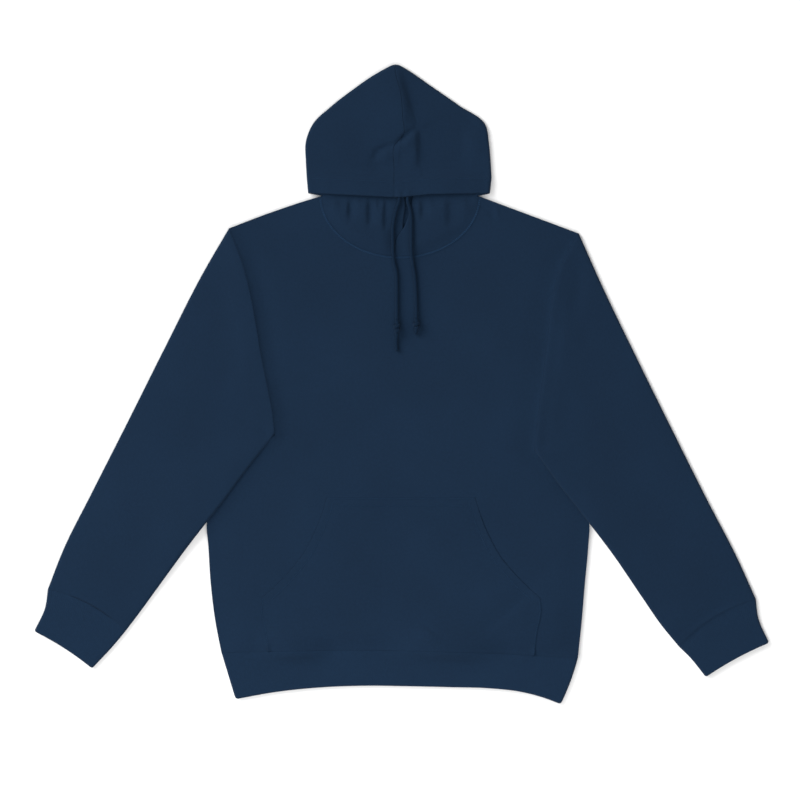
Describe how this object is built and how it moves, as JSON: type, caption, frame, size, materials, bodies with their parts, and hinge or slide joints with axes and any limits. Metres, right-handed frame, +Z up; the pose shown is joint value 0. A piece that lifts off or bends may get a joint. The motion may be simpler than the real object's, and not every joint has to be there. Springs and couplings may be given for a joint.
{
  "type": "pullover hoodie",
  "caption": "Long-sleeved fleece pullover with a drawstring hood, a kangaroo pocket and ribbed cuffs and hem, laid flat with its front up.",
  "frame": {"origin": "on the surface the garment lies on, under the middle of the chest", "axes": "+Z up out of the garment's front, +Y towards the hood, +X towards the wearer's left sleeve"},
  "size_m": [1.1014, 0.9589, 0.0174],
  "materials": {
    "navy_fleece": "brushed fleece with a smooth knitted face, matt",
    "navy_rib": "doubled rib knit, matt",
    "navy_cord": "round braided cotton cord"
  },
  "bodies": {
    "root": {"front_panel": "navy_fleece", "back_panel": "navy_fleece", "kangaroo_pocket": "navy_fleece", "sleeve_right": "navy_fleece", "sleeve_left": "navy_fleece", "cuff_right": "navy_rib", "cuff_left": "navy_rib", "hem_band": "navy_rib", "hood_right": "navy_fleece", "hood_left": "navy_fleece", "drawcord_right": "navy_cord", "drawcord_left": "navy_cord", "knot_right": "navy_cord", "knot_left": "navy_cord"}
  },
  "joints": []
}
